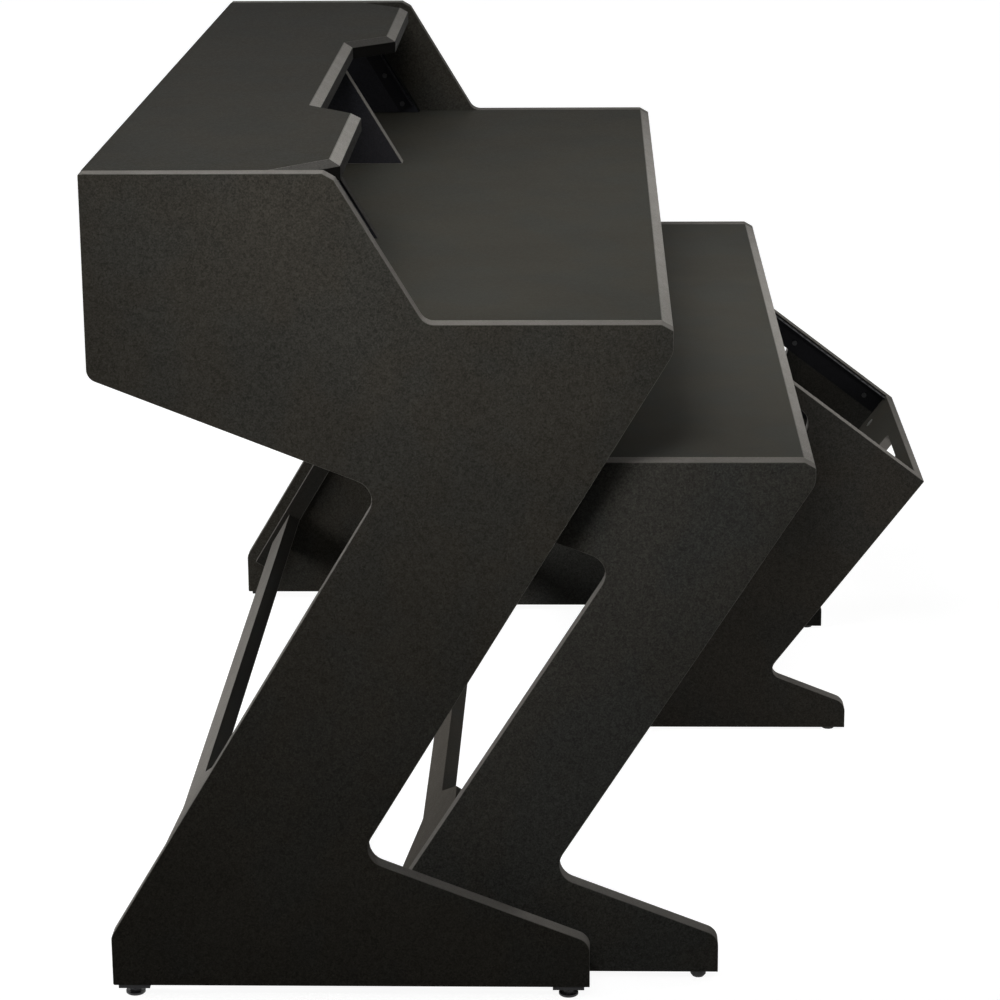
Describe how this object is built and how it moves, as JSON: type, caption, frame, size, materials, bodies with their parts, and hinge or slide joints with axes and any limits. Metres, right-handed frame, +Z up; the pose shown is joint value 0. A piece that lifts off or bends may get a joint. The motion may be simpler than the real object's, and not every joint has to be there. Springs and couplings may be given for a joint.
{
  "type": "nested keyboard stand",
  "caption": "Nested free-standing music desks with Z-shaped sides: a wide main desk with a slanted rack hutch, a keyboard desk under it and a narrow sloping rack desk.",
  "frame": {"origin": "centre of the whole set's bounding box at floor level, with the smaller desks at the places of the picture", "axes": "+X to the player's right along the width, -Y towards the player, +Z up; the floor is z = 0"},
  "size_m": [1.69, 1.122, 1.0605],
  "materials": {
    "top_laminate": "black fine-grained laminate on board, satin",
    "side_laminate": "black speckled laminate on board, matt, with lighter edge band",
    "rail_laminate": "black laminate on board, matt",
    "strip_steel": "black powder coat",
    "screw_steel": "black zinc",
    "plate_steel": "black powder coat",
    "cam_zinc": "die-cast zinc",
    "bolt_steel": "zinc-plated steel",
    "foot_plastic": "black moulded plastic",
    "glide_rubber": "black rubber"
  },
  "bodies": {
    "main_desk": {"main_side_left": "side_laminate", "main_side_right": "side_laminate", "main_desktop": "top_laminate", "hutch_shelf": "top_laminate", "hutch_cheek_left": "side_laminate", "hutch_cheek_right": "side_laminate", "hutch_partition_left": "side_laminate", "hutch_partition_right": "side_laminate", "main_under_rail": "rail_laminate", "main_rear_rail": "rail_laminate", "main_cleat_left": "side_laminate", "main_cleat_right": "side_laminate", "hutch_strip_a": "strip_steel", "hutch_strip_b": "strip_steel", "hutch_strip_c": "strip_steel", "hutch_strip_d": "strip_steel", "hutch_strip_screws": "screw_steel", "main_foot_plates": "plate_steel", "main_plate_screws": "screw_steel", "main_cams": "cam_zinc", "main_bolts": "bolt_steel"},
    "keyboard_desk": {"key_side_left": "side_laminate", "key_side_right": "side_laminate", "key_desktop": "top_laminate", "key_under_rail": "rail_laminate", "key_rear_rail": "rail_laminate", "key_cleat_left": "side_laminate", "key_cleat_right": "side_laminate", "key_glides": "glide_rubber", "key_cams": "cam_zinc", "key_bolts": "bolt_steel"},
    "rack_desk": {"rack_side_left": "side_laminate", "rack_side_right": "side_laminate", "rack_front_board": "side_laminate", "rack_rear_board": "side_laminate", "rack_bottom_rail": "rail_laminate", "rack_strip_left": "strip_steel", "rack_strip_right": "strip_steel", "rack_strip_screws": "screw_steel", "rack_glides": "glide_rubber", "rack_cams": "cam_zinc", "rack_bolts": "bolt_steel"},
    "foot_front_left": {"leveller_front_left": "foot_plastic"},
    "foot_front_right": {"leveller_front_right": "foot_plastic"},
    "foot_rear_left": {"leveller_rear_left": "foot_plastic"},
    "foot_rear_right": {"leveller_rear_right": "foot_plastic"}
  },
  "joints": [
    {"name": "keyboard_slide", "type": "slide", "parent": "main_desk", "child": "keyboard_desk", "axis": [0, -1, 0], "range_m": [-0.178, 0.3]},
    {"name": "rack_slide", "type": "slide", "parent": "keyboard_desk", "child": "rack_desk", "axis": [0, -1, 0], "range_m": [-0.225, 0.35]},
    {"name": "foot_front_left_screw", "type": "slide", "parent": "main_desk", "child": "foot_front_left", "axis": [0, 0, -1], "range_m": [-0.0025, 0.015]},
    {"name": "foot_front_right_screw", "type": "slide", "parent": "main_desk", "child": "foot_front_right", "axis": [0, 0, -1], "range_m": [-0.0025, 0.015]},
    {"name": "foot_rear_left_screw", "type": "slide", "parent": "main_desk", "child": "foot_rear_left", "axis": [0, 0, -1], "range_m": [-0.0025, 0.015]},
    {"name": "foot_rear_right_screw", "type": "slide", "parent": "main_desk", "child": "foot_rear_right", "axis": [0, 0, -1], "range_m": [-0.0025, 0.015]}
  ]
}
